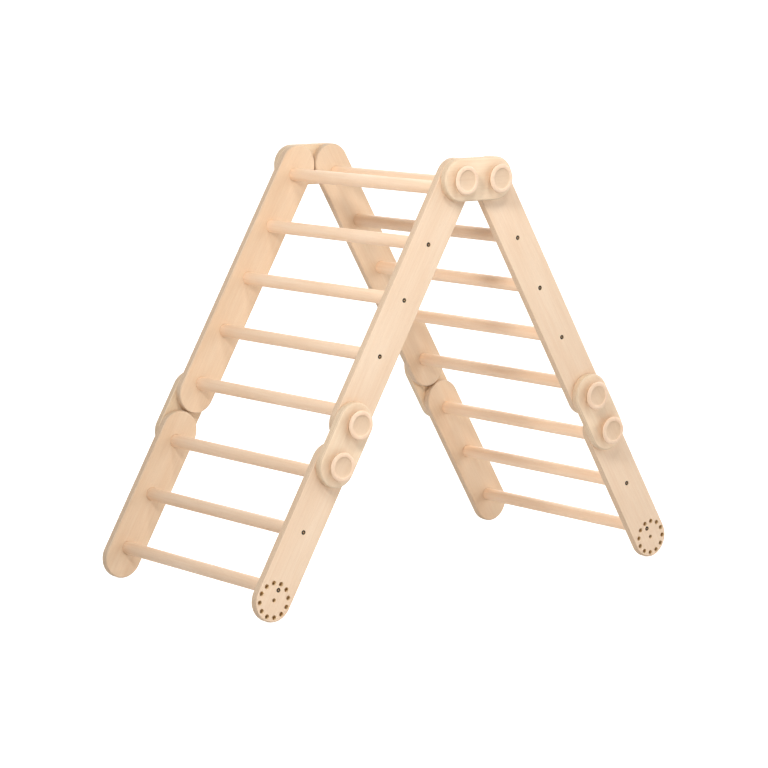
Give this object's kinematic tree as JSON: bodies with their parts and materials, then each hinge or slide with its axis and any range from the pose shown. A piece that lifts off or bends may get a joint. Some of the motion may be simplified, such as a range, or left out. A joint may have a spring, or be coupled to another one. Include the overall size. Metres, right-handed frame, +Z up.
{
  "type": "climbing triangle",
  "caption": "Free-standing wooden A-frame climbing triangle for toddlers: round rungs between flat rails, in folding sections joined by link plates and hand knobs.",
  "frame": {"origin": "on the floor, midway between the two legs and midway between the two sides", "axes": "+X to the right leg, -Y to the front side, +Z up"},
  "size_m": [1.213, 0.6772, 0.9769],
  "materials": {
    "rail_wood": "sanded pale plywood, clear matt",
    "rung_wood": "turned pale hardwood dowel, clear matt",
    "link_wood": "sanded pale plywood, clear matt",
    "knob_wood": "turned pale hardwood, clear matt",
    "steel": "zinc plated"
  },
  "bodies": {
    "apex_links": {"apex_link_front": "link_wood", "apex_link_back": "link_wood"},
    "left_upper_ladder": {"left_upper_rail_front": "rail_wood", "left_upper_rail_back": "rail_wood", "left_rung_1": "rung_wood", "left_rung_2": "rung_wood", "left_rung_3": "rung_wood", "left_rung_4": "rung_wood", "left_rung_5": "rung_wood"},
    "left_mid_links": {"left_mid_link_front": "link_wood", "left_mid_link_back": "link_wood"},
    "left_lower_ladder": {"left_lower_rail_front": "rail_wood", "left_lower_rail_back": "rail_wood", "left_rung_6": "rung_wood", "left_rung_7": "rung_wood", "left_rung_8": "rung_wood"},
    "right_upper_ladder": {"right_upper_rail_front": "rail_wood", "right_upper_rail_back": "rail_wood", "right_rung_1": "rung_wood", "right_rung_2": "rung_wood", "right_rung_3": "rung_wood", "right_rung_4": "rung_wood", "right_rung_5": "rung_wood"},
    "right_mid_links": {"right_mid_link_front": "link_wood", "right_mid_link_back": "link_wood"},
    "right_lower_ladder": {"right_lower_rail_front": "rail_wood", "right_lower_rail_back": "rail_wood", "right_rung_6": "rung_wood", "right_rung_7": "rung_wood", "right_rung_8": "rung_wood"},
    "apex_left_clamp_front": {"apex_left_knob_front": "knob_wood", "apex_left_stud_front": "steel"},
    "apex_left_clamp_back": {"apex_left_knob_back": "knob_wood", "apex_left_stud_back": "steel"},
    "apex_right_clamp_front": {"apex_right_knob_front": "knob_wood", "apex_right_stud_front": "steel"},
    "apex_right_clamp_back": {"apex_right_knob_back": "knob_wood", "apex_right_stud_back": "steel"},
    "left_upper_clamp_front": {"left_upper_knob_front": "knob_wood", "left_upper_stud_front": "steel"},
    "left_upper_clamp_back": {"left_upper_knob_back": "knob_wood", "left_upper_stud_back": "steel"},
    "left_lower_clamp_front": {"left_lower_knob_front": "knob_wood", "left_lower_stud_front": "steel"},
    "left_lower_clamp_back": {"left_lower_knob_back": "knob_wood", "left_lower_stud_back": "steel"},
    "right_upper_clamp_front": {"right_upper_knob_front": "knob_wood", "right_upper_stud_front": "steel"},
    "right_upper_clamp_back": {"right_upper_knob_back": "knob_wood", "right_upper_stud_back": "steel"},
    "right_lower_clamp_front": {"right_lower_knob_front": "knob_wood", "right_lower_stud_front": "steel"},
    "right_lower_clamp_back": {"right_lower_knob_back": "knob_wood", "right_lower_stud_back": "steel"}
  },
  "joints": [
    {"name": "left_apex_hinge", "type": "hinge", "parent": "apex_links", "child": "left_upper_ladder", "pos_m": [-0.05, 0, 0.92838], "axis": [0, 1, 0], "range_deg": [-30, 60]},
    {"name": "left_upper_hinge", "type": "hinge", "parent": "left_upper_ladder", "child": "left_mid_links", "pos_m": [-0.348, 0, 0.41223], "axis": [0, -1, 0], "range_deg": [-90, 90]},
    {"name": "left_lower_hinge", "type": "hinge", "parent": "left_mid_links", "child": "left_lower_ladder", "pos_m": [-0.398, 0, 0.32563], "axis": [0, -1, 0], "range_deg": [-90, 90]},
    {"name": "right_apex_hinge", "type": "hinge", "parent": "apex_links", "child": "right_upper_ladder", "pos_m": [0.05, 0, 0.92838], "axis": [0, -1, 0], "range_deg": [-30, 60]},
    {"name": "right_upper_hinge", "type": "hinge", "parent": "right_upper_ladder", "child": "right_mid_links", "pos_m": [0.348, 0, 0.41223], "axis": [0, 1, 0], "range_deg": [-90, 90]},
    {"name": "right_lower_hinge", "type": "hinge", "parent": "right_mid_links", "child": "right_lower_ladder", "pos_m": [0.398, 0, 0.32563], "axis": [0, 1, 0], "range_deg": [-90, 90]},
    {"name": "apex_left_clamp_front_turn", "type": "hinge", "parent": "apex_links", "child": "apex_left_clamp_front", "pos_m": [-0.05, -0.3186, 0.92838], "axis": [0, 1, 0], "continuous": true},
    {"name": "apex_left_clamp_back_turn", "type": "hinge", "parent": "apex_links", "child": "apex_left_clamp_back", "pos_m": [-0.05, 0.3186, 0.92838], "axis": [0, -1, 0], "continuous": true},
    {"name": "apex_right_clamp_front_turn", "type": "hinge", "parent": "apex_links", "child": "apex_right_clamp_front", "pos_m": [0.05, -0.3186, 0.92838], "axis": [0, 1, 0], "continuous": true},
    {"name": "apex_right_clamp_back_turn", "type": "hinge", "parent": "apex_links", "child": "apex_right_clamp_back", "pos_m": [0.05, 0.3186, 0.92838], "axis": [0, -1, 0], "continuous": true},
    {"name": "left_upper_clamp_front_turn", "type": "hinge", "parent": "left_mid_links", "child": "left_upper_clamp_front", "pos_m": [-0.348, -0.3186, 0.41223], "axis": [0, 1, 0], "continuous": true},
    {"name": "left_upper_clamp_back_turn", "type": "hinge", "parent": "left_mid_links", "child": "left_upper_clamp_back", "pos_m": [-0.348, 0.3186, 0.41223], "axis": [0, -1, 0], "continuous": true},
    {"name": "left_lower_clamp_front_turn", "type": "hinge", "parent": "left_mid_links", "child": "left_lower_clamp_front", "pos_m": [-0.398, -0.3186, 0.32563], "axis": [0, 1, 0], "continuous": true},
    {"name": "left_lower_clamp_back_turn", "type": "hinge", "parent": "left_mid_links", "child": "left_lower_clamp_back", "pos_m": [-0.398, 0.3186, 0.32563], "axis": [0, -1, 0], "continuous": true},
    {"name": "right_upper_clamp_front_turn", "type": "hinge", "parent": "right_mid_links", "child": "right_upper_clamp_front", "pos_m": [0.348, -0.3186, 0.41223], "axis": [0, 1, 0], "continuous": true},
    {"name": "right_upper_clamp_back_turn", "type": "hinge", "parent": "right_mid_links", "child": "right_upper_clamp_back", "pos_m": [0.348, 0.3186, 0.41223], "axis": [0, -1, 0], "continuous": true},
    {"name": "right_lower_clamp_front_turn", "type": "hinge", "parent": "right_mid_links", "child": "right_lower_clamp_front", "pos_m": [0.398, -0.3186, 0.32563], "axis": [0, 1, 0], "continuous": true},
    {"name": "right_lower_clamp_back_turn", "type": "hinge", "parent": "right_mid_links", "child": "right_lower_clamp_back", "pos_m": [0.398, 0.3186, 0.32563], "axis": [0, -1, 0], "continuous": true}
  ]
}
